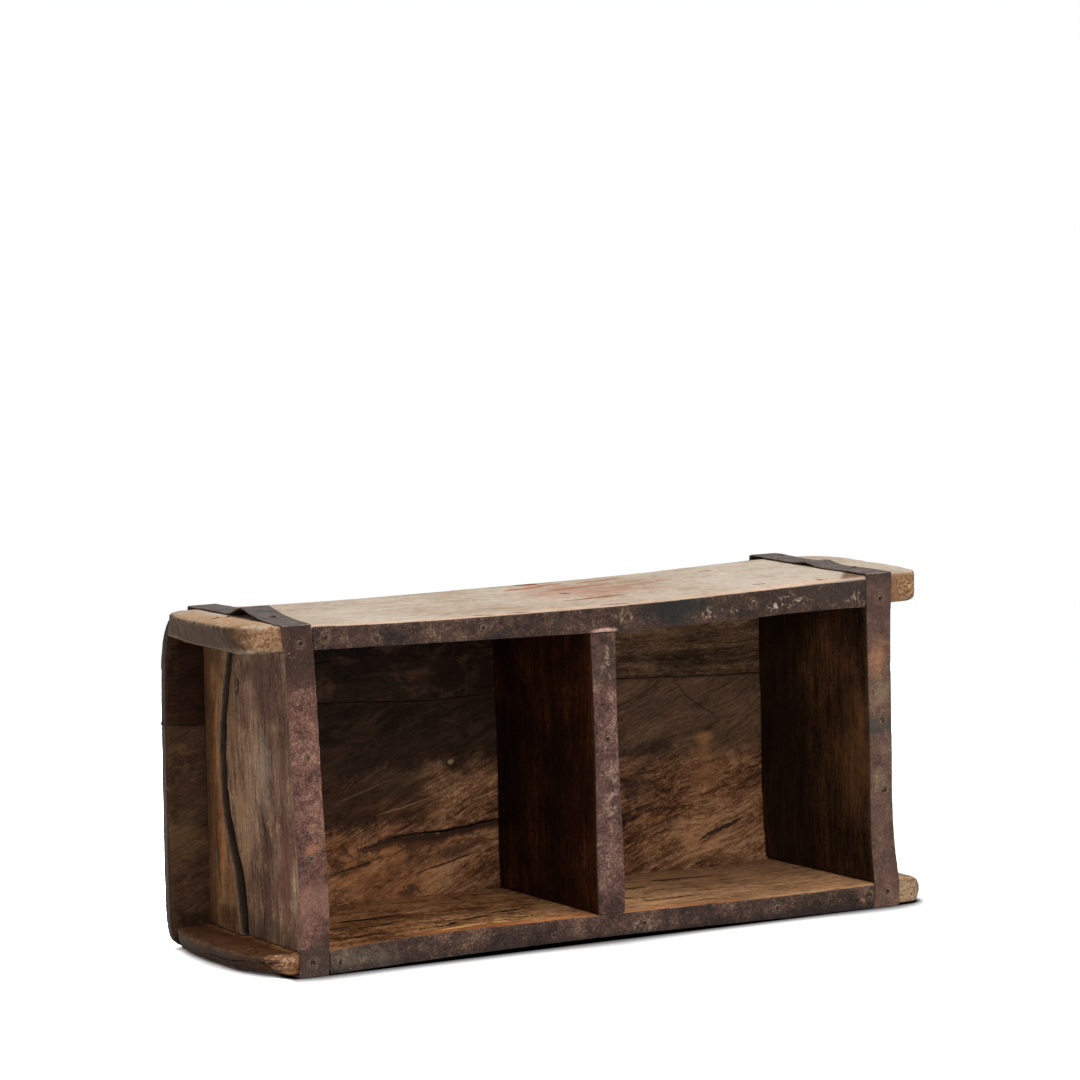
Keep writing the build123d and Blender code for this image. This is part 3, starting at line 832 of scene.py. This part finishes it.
FLOOR_MARKS = on("z",
    crack((128, 26), (176, 36), 6, 1.6, 1.5),
    crack((160, 46), (204, 44), 6, 1.2, 1.8),
    crack((208, 57), (256, 63), 6, 1.2, 1.5),
    crack((208, 35), (244, 29), 5, 0.8, 1.2),
    crack((92, 60), (140, 66), 4, 0.6, 1.5),
    scratch((140, 14), (188, 20), 9, (196, 146, 96)),
    scratch((52, 30), (112, 36), 5, SPLINTER_SHADE),
    scratch((90, 92), (152, 88), 9, SPLINTER_SHADE),
    scratch((318, 98), (382, 92), 8, (62, 38, 25)),
    scratch((344, 38), (404, 42), 6, (66, 40, 26)),
    scratch((396, 116), (462, 112), 8, (62, 39, 27))
) + on("-y",
    crack((-22, 14), (-2, 12), 1.3, 0.5)
) + on("-x",
    crack((20, 12), (90, 9), 1.5, 0.6)
)
BOTTOM_PATCHES = [
    (both(slab("x", 296, 560, 8), UP), (176, 134, 97), 0.65),
    (splinters((185, 46, 20), (90, 34, 14), 2), SPLINTER_SHADE, 0.9),
    (splinters((170, 56, 20), (110, 44, 14), 9), (62, 36, 21), 0.8),
    (splinters((200, 26, 20), (80, 20, 14), 5), (214, 166, 112), 0.6),
    (splinters((380, 70, 20), (110, 80, 14), 4), (66, 40, 26), 0.8),
    (both(slab("y", 0, 14, 5, 26), UP, slab("x", 120, 280, 12)), (172, 104, 58), 0.8),
    (both(slab("y", 0, 12, 5, 22), UP, slab("x", 300, 420, 20)), (168, 102, 60), 0.65),
    (both(slab("x", -60, 8), UP), (80, 52, 34), 0.9),
    (both(spot((-8, 60, 19), (20, 50, 8), 0.9), UP), (124, 76, 46), 0.75),
    (both(crumbs((-16, 60, 19), (30, 80, 10), 6), UP), (34, 22, 15), 0.7),
    (both(slab("x", -60, 2), LEFT), (47, 34, 25), 0.97),
    (both(slab("x", -60, -14), FRONT), (47, 34, 25), 0.95),
    (crumbs((-24, 60, 22), (26, 80, 9), 21), (124, 92, 70), 0.5),
    (spot((-4, 0, 14), (19, 16, 12), 0.4, 0.8), (128, 88, 62), 0.92),
    (crumbs((-4, 0, 14), (19, 16, 12), 7), (214, 172, 138), 0.8),
    (both(slab("x", 560, 640), FRONT), (152, 125, 97), 0.95),
    (both(slab("x", 560, 640), UP), (170, 144, 116), 0.9),
    (crumbs((598, 2, 12), (40, 24, 20), 13), (100, 76, 54), 0.75),
    (crumbs((598, 2, 12), (40, 24, 20), 15), (190, 162, 130), 0.6),
    (DOWN, (66, 46, 32), 0.9),
]
BOTTOM = wood(
    "bottom_board_wood", "x",
    [(58, 33, 19), (108, 70, 43), (150, 106, 69), (174, 128, 87), (204, 160, 114)], (136, 100, 70), 6.1,
    broad=0.35, contrast=1.25, fleck=0.7, cracked=0.4, gloss=0.62, worn=0.5, patches=BOTTOM_PATCHES,
    marks=FLOOR_MARKS)

FRONT_MARKS = on("-x",
    crack((86, 222), (90, 208), 3.4, 0.8),
    scratch((81, 219), (94, 214), 2, (62, 46, 36)),
    crack((58, 120), (52, 92), 1.6, 0.5),
    crack((30, 236), (34, 214), 1.5, 0.5),
    scratch((44, 226), (46, 170), 1.6, (62, 42, 34)),
    scratch((70, 160), (60, 60), 1.4, (58, 44, 36)),
    scratch((76, 186), (74, 110), 2, (158, 128, 92)),
    scratch((28, 190), (26, 120), 1.3, (142, 124, 108)),
    crack((66, 60), (64, 22), 1.5, 0.6)
)
LEFT_FRONT_PATCHES = [
    (spot((10, 24, 78), (40, 17, 66), 0.7), (102, 64, 51), 0.85),
    (spot((10, 54, 96), (40, 13, 34), 0.7), (70, 44, 34), 0.85),
    (spot((10, 58, 60), (40, 9, 30), 0.7), (84, 54, 42), 0.75),
    (spot((10, 94, 112), (40, 14, 92)), (160, 124, 92), 0.7),
    (spot((10, 82, 150), (40, 7, 60)), (168, 132, 104), 0.6),
    (spot((10, 100, 190), (40, 10, 50), 0.7), (116, 89, 60), 0.75),
    (spot((10, 44, 222), (40, 50, 34), 0.7), (79, 53, 42), 0.85),
    (spot((10, 60, 28), (40, 60, 14)), (98, 75, 62), 0.75),
    (spot((10, 50, 158), (40, 13, 44)), (154, 134, 116), 0.8),
    (spot((10, 22, 150), (40, 9, 40)), (134, 98, 82), 0.75),
    # Painted shade in the gap between the two planks of the left end
    (BACK, (26, 19, 14), 1.0),
]
LEFT_FRONT = wood(
    "left_front_plank_wood", "z",
    [(62, 41, 30), (104, 76, 58), (138, 107, 85), (163, 133, 108), (194, 168, 141)], (138, 116, 96),
    11.3, contrast=1.3, fleck=0.45, cracked=0.35, patches=LEFT_FRONT_PATCHES, marks=FRONT_MARKS)

REAR_MARKS = on("-x",
    crack((126, 214), (130, 190), 1.4, 0.4),
    crack((132, 240), (131, 222), 1.3, 0.4),
    crack((134, 100), (131, 60), 1.4, 0.4)
)
LEFT_REAR_PATCHES = [
    (spot((5, 121, 180), (30, 10, 50), 0.9), (166, 118, 75), 0.75),
    (spot((5, 121, 100), (30, 11, 58), 0.9), (184, 122, 78), 0.8),
    (spot((5, 120, 238), (30, 30, 38)), (66, 47, 32), 0.75),
    (spot((5, 118, 32), (30, 22, 18)), (66, 46, 32), 0.8),
    (slab("y", 137, 170, 5, 8), (78, 52, 34), 0.75),
    # Painted shade in the gap between the two planks of the left end, darkest further in
    (FRONT, (64, 50, 40), 1.0),
    (both(slab("x", 13, 60, 4, 6), FRONT), (30, 22, 16), 0.9),
]
LEFT_REAR = wood(
    "left_rear_plank_wood", "z",
    [(64, 40, 25), (104, 71, 47), (134, 96, 65), (162, 119, 81), (190, 146, 102)], (120, 104, 86), 15.9,
    contrast=1.2, fleck=0.4, cracked=0.3, patches=LEFT_REAR_PATCHES, marks=REAR_MARKS)

ROOM_SIDE_PATCHES = [
    # Lighter near the open front and darker towards the back on the face towards the room: painted light
    # and painted shade
    (both(spot((540, 22, 130), (20, 26, 90), 0.9), LEFT), (88, 58, 36), 0.6),
    (both(spot((540, 14, 150), (20, 9, 30), 0.9), LEFT), (112, 74, 44), 0.3),
    (both(slab("y", 90, 160, 30, 40), LEFT), (34, 23, 14), 0.75),
    (RIGHT, (110, 84, 62), 0.8),
]
ROOM_SIDE = wood(
    "room_side_wood", "z", [(12, 7, 4), (31, 19, 11), (55, 35, 21), (84, 55, 33), (118, 80, 49)],
    (66, 46, 31), 21.2, contrast=1.0, fleck=0.35, cracked=0.1, gloss=0.55, patches=ROOM_SIDE_PATCHES)
DIVIDER = wood(
    "divider_wood", "z", [(9, 4, 2), (22, 10, 4), (37, 17, 8), (57, 29, 13), (88, 50, 26)], (70, 42, 28),
    27.4, contrast=1.2, fleck=0.7, cracked=0.1, gloss=0.5)

# The closed back as it is seen inside the left room, where shade is painted on its upper part, and at the
# open ends
LEFT_ROOM = both(slab("x", -10, 286, 2), slab("y", 100, 161, 2), slab("z", 0, 262, 2))
BACK_END = both(slab("x", -60, 14), slab("y", 100, 161, 2))

UPPER_MARKS = on("-y",
    scratch((150, 204), (214, 207), 2, (56, 42, 32)),
    crack((60, 215), (132, 219), 1.3),
    crack((404, 232), (448, 235), 1.2)
)
BACK_UP_PATCHES = [
    (both(spot((430, 154, 225), (60, 30, 20), 0.9), FRONT), (124, 94, 68), 0.5),
    # Painted shade over the upper back inside the left room, mottled by two kinds of blotches
    (LEFT_ROOM, (30, 20, 14), 0.96),
    (both(blotches(34, 2, 0.46, 0.6), LEFT_ROOM), (79, 55, 40), 0.85),
    (both(blotches(60, 6, 0.54, 0.6), LEFT_ROOM), (24, 20, 16), 0.7),
    (BACK_END, (44, 25, 16), 0.9),
    (both(blotches(60, 4), BACK_END), (30, 18, 12), 0.7),
    (LEFT, (24, 15, 10), 0.95),
    (BACK, (100, 78, 58), 1.0),
]
BACK_UP = wood(
    "upper_back_wood", "x", [(41, 29, 20), (72, 52, 38), (100, 75, 54), (129, 100, 74), (166, 134, 102)],
    (60, 44, 32), 33.0, contrast=1.35, fleck=0.35, cracked=0.3, worn=0.5, patches=BACK_UP_PATCHES,
    marks=UPPER_MARKS)

LOWER_MARKS = on("-y",
    # Two wide dark strokes along the crack below them: its painted shadow
    scratch((146, 65), (304, 76), 15, (84, 55, 37), 1),
    scratch((152, 67), (304, 76), 8, (58, 39, 28), 1),
    crack((178, 71), (300, 78), 2.4, 1.4, 0.9),
    scratch((165, 91), (217, 101), 1.5, (128, 98, 70)),
    scratch((196, 93), (252, 112), 1.2, (112, 84, 60)),
    scratch((128, 104), (182, 120), 1.3, (96, 72, 54)),
    scratch((449, 180), (476, 153), 1.3, (40, 28, 20), 0.4),
    scratch((470, 160), (492, 146), 1.2, (44, 31, 22)),
    scratch((408, 52), (462, 68), 1.6, (70, 46, 30)),
    scratch((476, 42), (520, 58), 5, (62, 44, 32)),
    scratch((120, 46), (168, 56), 2, (52, 33, 21)),
    scratch((200, 40), (262, 54), 1.8, (54, 34, 22))
) + on("-x",
    scratch((150, 120), (168, 150), 1.4, (96, 74, 56)),
    scratch((152, 112), (166, 96), 1.3, (92, 70, 52))
)
BACK_LOW_PATCHES = [
    (both(spot((150, 154, 40), (130, 30, 46), 0.9), FRONT), (178, 120, 78), 0.65),
    (both(blotches(44, 12, 0.52, 0.6), slab("z", 0, 90, 8), slab("x", 0, 286, 2)), (76, 48, 32), 0.75),
    (both(blotches(40, 15, 0.55, 0.62), slab("z", 0, 120, 8)), (172, 126, 88), 0.55),
    # Painted shade over the upper back in the left room, with its soft lower border and mottling, and over
    # the upper back in the right room
    (both(slab("z", 118, 200, 16, 60), LEFT_ROOM), (30, 20, 14), 0.96),
    (both(slab("z", 84, 125, 14, 60), FRONT, slab("x", -10, 216, 26)), (46, 30, 23), 0.9),
    (both(spot((180, 154, 96), (60, 30, 10), 0.9), FRONT), (92, 60, 42), 0.7),
    (both(blotches(34, 2), slab("z", 96, 200, 12), LEFT_ROOM), (60, 42, 30), 0.7),
    (both(slab("z", 112, 200, 18, 60), slab("x", 286, 560, 2)), (74, 57, 44), 0.8),
    (spot((424, 154, 124), (36, 30, 13), 0.9, 1.5), (46, 34, 27), 0.85),
    (spot((412, 154, 92), (36, 30, 18), 0.9, 1.5), (48, 35, 28), 0.85),
    (spot((480, 154, 104), (26, 30, 18), 0.9, 1.5), (128, 88, 56), 0.6),
    (spot((479, 154, 129), (13, 30, 9)), (150, 104, 62), 0.75),
    (spot((234.8, 154, 128.8), (3.4, 30, 2.6), 0.3, 0.3), (120, 100, 80), 0.9),
    (spot((130, 154, 48), (26, 30, 9), 0.9), (60, 40, 26), 0.8),
    (spot((236, 154, 54), (24, 30, 10), 0.9), (56, 37, 26), 0.8),
    (BACK_END, (70, 49, 36), 0.95),
    (both(blotches(60, 8), BACK_END), (46, 31, 23), 0.75),
    (both(blotches(90, 18, 0.54, 0.62), BACK_END), (98, 74, 50), 0.5),
    (both(spot((-20, 154, 90), (50, 30, 34), 0.9), BACK_END), (94, 72, 48), 0.6),
    (LEFT, (42, 29, 21), 0.95),
    (BACK, (104, 80, 58), 1.0),
]
BACK_LOW = wood(
    "lower_back_wood", "x", [(38, 23, 15), (80, 51, 33), (120, 82, 56), (150, 108, 77), (184, 140, 102)],
    (74, 54, 40), 39.5, flow=Flow(0.32, 0.12, 290), bend=0.03, contrast=1.45, fleck=0.5, cracked=0.25,
    worn=0.5, patches=BACK_LOW_PATCHES, marks=LOWER_MARKS)

BLACK_TOP = (slab("z", 268, 320, 7, 14), (48, 40, 36), 0.75)
GREY_TOP = (UP, (74, 65, 60), 0.85)
GREY_SHEEN = (both(UP, blotches(70, 3, 0.48, 0.58)), (104, 93, 87), 0.6)
# Painted highlight along the bands' bends and upward-leaning arrises
BEND_PAINTED_HIGHLIGHT = (both(leaning(0.4, 0.86), slab("z", 240, 320), blotches(60, 9, 0.36, 0.52)),
               (146, 134, 126), 0.65)
STRAP_PATCHES = [
    (disc(14, 250, 40, 56, 0.7), (57, 38, 31), 0.92),
    (disc(24, 60, 40, 36, 0.9), (126, 90, 77), 0.7),
    (disc(24, 8, 40, 28, 0.7), (60, 47, 42), 0.88),
    (disc(20, 169, 6, 6, 0.9), (168, 118, 88), 0.7),
    (disc(21, 97, 9, 6, 0.9), (156, 104, 74), 0.7),
    (slab("x", 480, 640), (88, 69, 58), 0.6),
    (disc(551, 205, 14, 24, 0.7), (138, 98, 74), 0.85),
    (disc(551, 180, 14, 20, 0.9), (114, 96, 76), 0.75),
    (disc(553, 152, 22, 13, 0.7), (64, 57, 52), 0.85),
    (disc(551, 106, 10, 13), (118, 98, 76), 0.75),
    (disc(552, 245, 30, 28), (78, 58, 50), 0.8),
    (BACK, (62, 48, 42), 0.7),
    BLACK_TOP,
    GREY_TOP,
    GREY_SHEEN,
    BEND_PAINTED_HIGHLIGHT,
]
STRAP = rust(
    "strap_rust", [(32, 22, 20), (68, 45, 39), (96, 65, 57), (118, 83, 71), (152, 118, 99)], 2.2,
    contrast=1.2, patches=STRAP_PATCHES)
DIVIDER_IRON_PATCHES = [
    (disc(286, 222, 22, 26), (60, 47, 42), 0.75),
    (flakes((290, 0, 225), (12, 30, 30), 11), (156, 132, 112), 0.7),
    (flakes((293, 0, 120), (6, 30, 60), 12), (164, 140, 120), 0.7),
]
DIVIDER_IRON = rust(
    "divider_strip_rust", [(30, 20, 18), (60, 41, 36), (86, 60, 53), (108, 79, 69), (150, 122, 106)],
    7.7, contrast=1.1, crust=0.3, patches=DIVIDER_IRON_PATCHES)
# Pale crust: its place and size along and up, a seed, its colour and how strong it is
STRIP_CRUST = [(flakes((x, 0, z), (wide, 30, high), seed), colour, strength)
               for x, z, wide, high, seed, colour, strength in (
    (386, 255, 14, 6, 1, (176, 154, 130), 0.95),
    (411, 255, 7, 6, 2, (166, 146, 124), 0.9),
    (452, 256, 18, 6, 3, (176, 158, 136), 0.95),
    (476, 258, 16, 5, 4, (170, 152, 130), 0.9),
    (458, 264, 13, 5, 5, (156, 126, 104), 0.9),
    (306, 258, 13, 10, 6, (150, 126, 98), 0.9),
    (528, 257, 14, 12, 7, (140, 122, 104), 0.85),
    (60, 10, 38, 12, 8, (150, 134, 108), 0.8),
    (320, 9, 20, 9, 9, (150, 130, 112), 0.8),
    (536, 11, 9, 12, 10, (156, 122, 92), 0.85),
)]
STRIP_PATCHES = [
    (disc(356, 260, 46, 15, 0.7), (34, 36, 32), 0.88),
    (disc(470, 262, 90, 18), (52, 40, 34), 0.75),
    # Near black painted shadow of the bands across the strips' ends
    (slab("x", 0, 26.6, 0.5), (20, 15, 13), 0.9),
    (both(slab("x", 536.2, 560, 0.5), slab("z", 200, 300)), (20, 15, 13), 0.9),
    (disc(500, 262, 34, 16), (56, 47, 41), 0.6),
    *STRIP_CRUST,
    (disc(62, 9, 40, 16), (97, 85, 71), 0.7),
    # Painted shade along the foot of the bottom strip, by the floor
    (slab("z", -5, 7, 4), (34, 28, 26), 0.55),
    (spot((286, 0, 247), (15, 30, 3.5), 0.5, 0.5), (186, 150, 134), 0.9),
]
STRIP = rust(
    "strip_rust", [(22, 17, 15), (46, 33, 28), (66, 48, 41), (86, 64, 54), (124, 98, 80)], 5.2,
    contrast=1.2, crust=0.35, patches=STRIP_PATCHES)
NAIL = rust(
    "nail_rust", [(14, 10, 9), (26, 18, 16), (40, 29, 25), (58, 43, 37), (92, 74, 63)], 9.0, halo=0.75,
    # The last patch is painted shade on the heads that face up
    patches=[(disc(20, 169, 12, 12, 0.5), (76, 59, 49), 0.85),
             (disc(20, 97, 12, 12, 0.5), (66, 51, 42), 0.85), (UP, (30, 24, 22), 0.8)])

# Pieces

seats = {n: nail_seats(n) for n in NODES if n.endswith("_nails")}
all_seats = [s for group in seats.values() for s in group]

# Sizes are in metres here, apart from the torn spots, which are in the crate's millimetres
Board = namedtuple("Board", "node grain material slot voxel chip wave seed marks against torn",
                   defaults=((), None, ()))
BOARDS = [
    Board("top_board", "x", TOP, "board_wood", 0.0016, 0.0015, 0.00022, 101, TOP_MARKS, None,
          [((-14, 4, 262), 24, 1.6, 1), ((-30, 40, 268), 20, 0.9, 1), ((600, 4, 262), 24, 0.9, 1),
           ((-24, 30, 215), 56, -3.2, 0), ((-24, 90, 215), 56, -3.2, 0)]),
    Board("bottom_board", "x", BOTTOM, "board_wood", 0.0016, 0.0015, 0.00022, 131, FLOOR_MARKS, None,
          [((-10, 2, 12), 22, 1.4, 1), ((-30, 60, 18), 26, 0.8, 1), ((590, 4, 12), 20, 0.5, 1),
           ((-22, 22, -6), 32, 4.5, 0.2)]),
    Board("back_plank_upper", "x", BACK_UP, "back_wood", 0.0016, 0.0009, 0.00022, 171, UPPER_MARKS,
          "back_plank_lower"),
    Board("back_plank_lower", "x", BACK_LOW, "back_wood", 0.0017, 0.0009, 0.00022, 191, LOWER_MARKS,
          "back_plank_upper"),
    Board("left_end_plank_front", "z", LEFT_FRONT, "end_wood", 0.0014, 0.0011, 0.00030, 211, FRONT_MARKS),
    Board("left_end_plank_rear", "z", LEFT_REAR, "end_wood", 0.0014, 0.0011, 0.00030, 231, REAR_MARKS),
    Board("right_end_board", "z", ROOM_SIDE, "end_wood", 0.0018, 0.0008, 0.00020, 251),
    Board("divider_board", "z", DIVIDER, "end_wood", 0.0018, 0.0006, 0.00015, 271),
]
for board in BOARDS:
    mesh = worn_wood(board.node, board.grain, board.voxel * COARSE, board.chip, board.wave, board.seed,
                     board.marks, board.against, board.torn)
    new_piece(board.node + "_worn", mesh, board.material, board.node)

for node, material, seed in (("left_strap", STRAP, 301), ("right_strap", STRAP, 311),
                             ("top_edge_strip", STRIP, 321), ("bottom_edge_strip", STRIP, 331),
                             ("divider_strip", DIVIDER_IRON, 341)):
    new_piece(node + "_forged", old_iron(node, all_seats, seed), material, node)

for number, node in enumerate(sorted(seats)):
    nail_heads(node, seats[node], NAIL, 400 + number)

# Room, light and camera

FLOOR_RADIUS, FLOOR_SIDES = 1.7, 96
# How far round a place on the floor the crate shuts it in
SHADOW_REACH = 0.085
# The level of the world's light on the crate
SKY = 0.42


def background_rays(tree, mirrored=1.0):
    """1 for rays that come straight from the camera, and the given share for those by gloss or glass."""
    path = new_node(tree, "LightPath")
    total = path.outputs["Is Camera Ray"]
    for kind in ("Is Glossy Ray", "Is Transmission Ray"):
        total = add_math(tree, "MULTIPLY_ADD", path.outputs[kind], mirrored, total)
    return total


floor_mesh = bpy.data.meshes.new("floor")
angles = np.linspace(0, 2 * pi, FLOOR_SIDES, endpoint=False)
rim = [(FLOOR_RADIUS * cos(a), FLOOR_RADIUS * sin(a), 0) for a in angles]
floor_mesh.from_pydata(rim, [], [tuple(range(FLOOR_SIDES))])
floor = new_object("floor", floor_mesh)

# Pale floor, white to the camera away from the crate, with a dark narrow shadow where it is shut in
paper = bpy.data.materials.new("paper")
paper.use_nodes = True
tree = paper.node_tree
link = tree.links.new
tree.nodes.remove(tree.nodes["Principled BSDF"])
diffuse = new_node(tree, "BsdfDiffuse")
open_sky = new_node(tree, "AmbientOcclusion")
open_sky.samples = 24
open_sky.inputs["Distance"].default_value = SHADOW_REACH
# The shadow is lighter at the crate's left end, past a slanting line on the floor
where = new_node(tree, "TexCoord")
across = new_node(tree, "SeparateXYZ")
link(where.outputs["Object"], across.inputs[0])
slanted = add_math(tree, "MULTIPLY_ADD", across.outputs["Y"], -0.45, across.outputs["X"])
lifted = new_node(tree, "MapRange")
lifted.interpolation_type = "SMOOTHSTEP"
link(slanted, lifted.inputs[0])
for socket, value in zip(lifted.inputs[1:5], (-0.258, -0.238, 0.46, 0.0)):
    socket.default_value = value
light_in = add_math(tree, "MULTIPLY_ADD", open_sky.outputs["AO"], 0.5, lifted.outputs[0])
# Half of how much of the sky a place on the floor sees, and how pale it is there
shut = new_node(tree, "ValToRGB")
stops = shut.color_ramp.elements
for place, pale in ((0.31, 0.30), (0.41, 1.15), (0.50, 2.3)):
    stops.new(place).color = (pale, pale, pale, 1)
for end, place, pale in ((0, 0.21, 0.0), (-1, 0.96, 8.0)):
    stops[end].position = place
    stops[end].color = (pale, pale, pale, 1)
link(light_in, shut.inputs["Fac"])
shade = new_node(tree, "Mix")
shade.data_type = "RGBA"
link(background_rays(tree, 0.3), shade.inputs[0])
shade.inputs[6].default_value = (0.80, 0.80, 0.80, 1)
link(shut.outputs["Color"], shade.inputs[7])
link(shade.outputs[2], diffuse.inputs["Color"])
link(diffuse.outputs[0], tree.nodes["Material Output"].inputs["Surface"])
floor_mesh.materials.append(paper)

# A world that lights the crate plainly and shows white
world = bpy.data.worlds.new("studio")
bpy.context.scene.world = world
world.use_nodes = True
tree = world.node_tree
link = tree.links.new
lights, seen = tree.nodes["Background"], new_node(tree, "Background")
for background, strength in ((lights, SKY), (seen, 1.0)):
    background.inputs["Color"].default_value = (1, 1, 1, 1)
    background.inputs["Strength"].default_value = strength
either = new_node(tree, "MixShader")
link(background_rays(tree), either.inputs[0])
link(lights.outputs[0], either.inputs[1])
link(seen.outputs[0], either.inputs[2])
link(either.outputs[0], tree.nodes["World Output"].inputs["Surface"])


def lamp(name, where, target, size, power):
    data = bpy.data.lights.new(name, "AREA")
    data.shape = "RECTANGLE"
    data.size, data.size_y = size
    data.energy = power
    thing = new_object(name, data)
    thing.location = where
    thing.rotation_euler = (Vector(target) - Vector(where)).to_track_quat("-Z", "Y").to_euler()


lamp("overhead", (0.25, -0.55, 2.0), (0, 0, 0.15), (1.8, 1.4), 34)
lamp("front", (-0.6, -2.4, 1.1), (0, 0, 0.12), (1.6, 1.2), 22)

# Camera found from the crate's own edges in the photograph
CAMERA_PLACE = (-1.9178, -3.1489, 0.6842)
AZ, EL, ROLL = radians(-31.28), radians(5.76), radians(-0.5)
ahead = Vector((-sin(AZ) * cos(EL), cos(AZ) * cos(EL), -sin(EL)))
right = Vector((cos(AZ), sin(AZ), 0))
up = right.cross(ahead)
right, up = (cos(ROLL) * right + sin(ROLL) * up, -sin(ROLL) * right + cos(ROLL) * up)
camera = new_object("camera", bpy.data.cameras.new("camera"))
turn = Matrix((right, up, -ahead)).transposed()
camera.matrix_world = Matrix.Translation(CAMERA_PLACE) @ turn.to_4x4()
camera.data.lens = 154.43
camera.data.sensor_width = 36.0
camera.data.clip_end = 100
bpy.context.scene.camera = camera

bpy.context.scene.view_settings.view_transform = "Standard"
